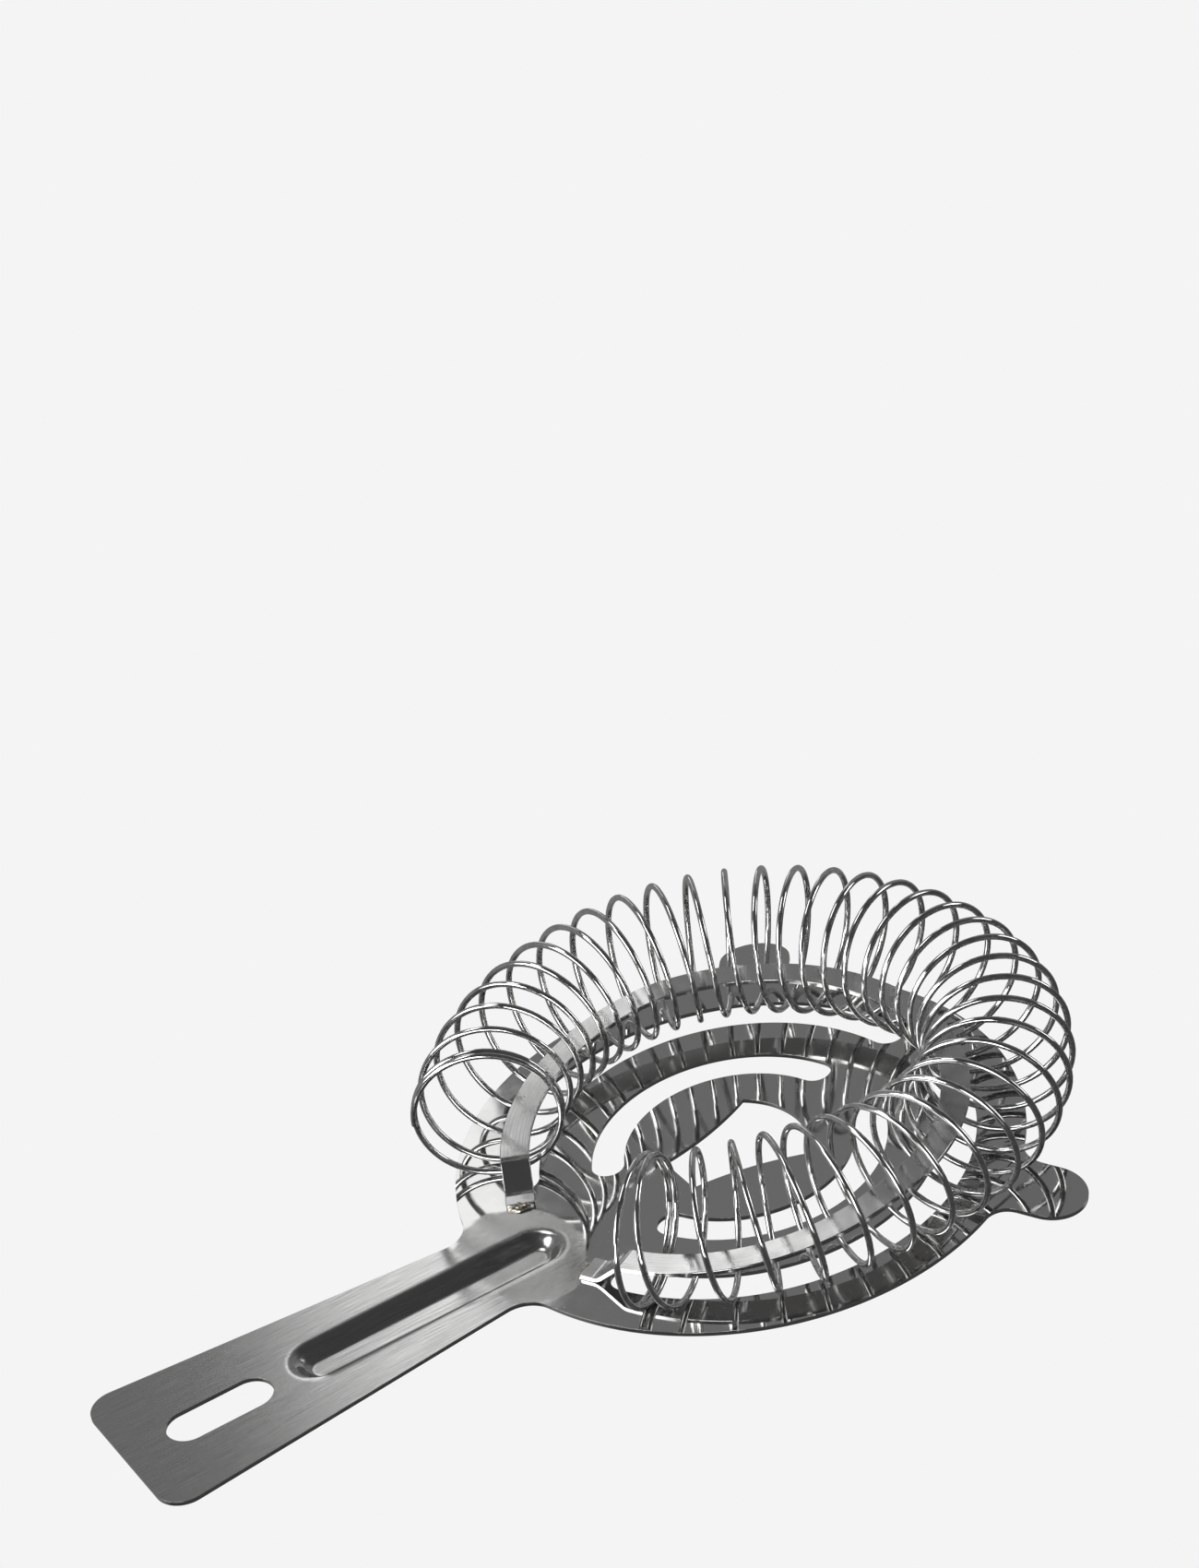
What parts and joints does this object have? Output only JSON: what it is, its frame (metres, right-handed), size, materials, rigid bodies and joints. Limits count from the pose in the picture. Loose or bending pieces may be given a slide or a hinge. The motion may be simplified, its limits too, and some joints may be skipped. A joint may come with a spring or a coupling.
{
  "type": "hawthorne strainer",
  "caption": "Stamped steel bar strainer: slotted round plate with finger tabs and a grooved handle, and a loose coil spring round a raised rail that fits inside a mixing glass.",
  "frame": {"origin": "centre of the round plate on its coil-side face, the face that meets the rim of a glass", "axes": "+Z out of the plate on the coil side, -X along the handle, +X to the front of the plate"},
  "size_m": [0.1617, 0.0964, 0.0269],
  "materials": {
    "plate_steel": "mirror polished plate, lengthwise brushed handle",
    "rail_steel": "polished strip",
    "weld_steel": "bright weld metal",
    "spring_wire": "drawn polished wire"
  },
  "bodies": {
    "plate": {"strainer_plate": "plate_steel", "spring_rail": "rail_steel", "left_foot_weld": "weld_steel", "right_foot_weld": "weld_steel"},
    "coil": {"coil_spring": "spring_wire"}
  },
  "joints": [
    {"name": "coil_slide_round", "type": "hinge", "parent": "plate", "child": "coil", "pos_m": [0, 0, 0], "axis": [0, 0, 1], "range_deg": [-9.5, 3.5]}
  ]
}
